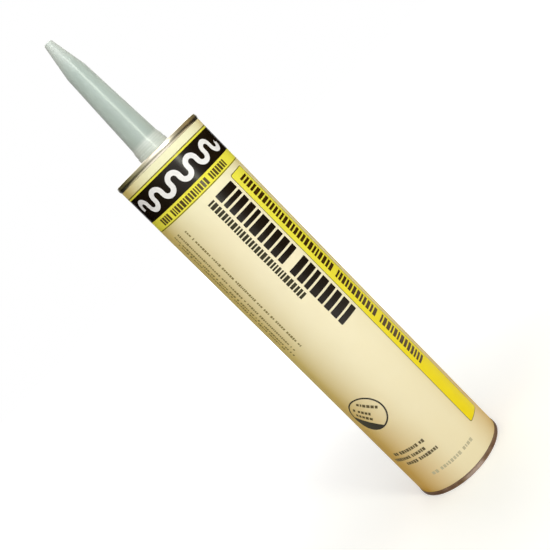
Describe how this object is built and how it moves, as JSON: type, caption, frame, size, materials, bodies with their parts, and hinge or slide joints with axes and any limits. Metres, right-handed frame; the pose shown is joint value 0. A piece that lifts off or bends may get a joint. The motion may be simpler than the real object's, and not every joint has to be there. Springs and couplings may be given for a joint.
{
  "type": "caulk tube",
  "caption": "Filled fibreboard cartridge with a printed wrap, a seamed metal front end, a closed tapered nozzle and a sliding plunger at the open rear.",
  "frame": {"origin": "centre of the tube's open rear edge, on which it stands", "axes": "+Z along the tube's axis towards the nozzle, -Y out of the middle of the label's front, +X to the right of someone who faces that front"},
  "size_m": [0.0508, 0.0508, 0.2819],
  "materials": {
    "fibreboard": "matte kraft board, varnished at the rear edge",
    "label_paper": "glossy varnished paper",
    "black_ink": "glossy print",
    "yellow_ink": "glossy print",
    "white_ink": "glossy print",
    "dark_ink": "glossy print",
    "tinplate": "bright lacquered tinplate",
    "nozzle_plastic": "translucent natural polyethylene",
    "foil": "bright foil",
    "adhesive_paste": "thick tan paste",
    "plunger_plastic": "natural polyethylene"
  },
  "bodies": {
    "cartridge": {"body_tube": "fibreboard", "label": "label_paper", "black_band": "black_ink", "yellow_band": "yellow_ink", "serpentine": "white_ink", "side_panel": "yellow_ink", "title_blocks": "dark_ink", "ring_emblem": "dark_ink", "front_end": "tinplate", "nozzle": "nozzle_plastic", "inner_seal": "foil", "adhesive": "adhesive_paste"},
    "plunger": {"plunger": "plunger_plastic"}
  },
  "joints": [
    {"name": "plunger_slide", "type": "slide", "parent": "cartridge", "child": "plunger", "axis": [0, 0, 1], "range_m": [0, 0.1763], "deforming": ["adhesive"]}
  ]
}
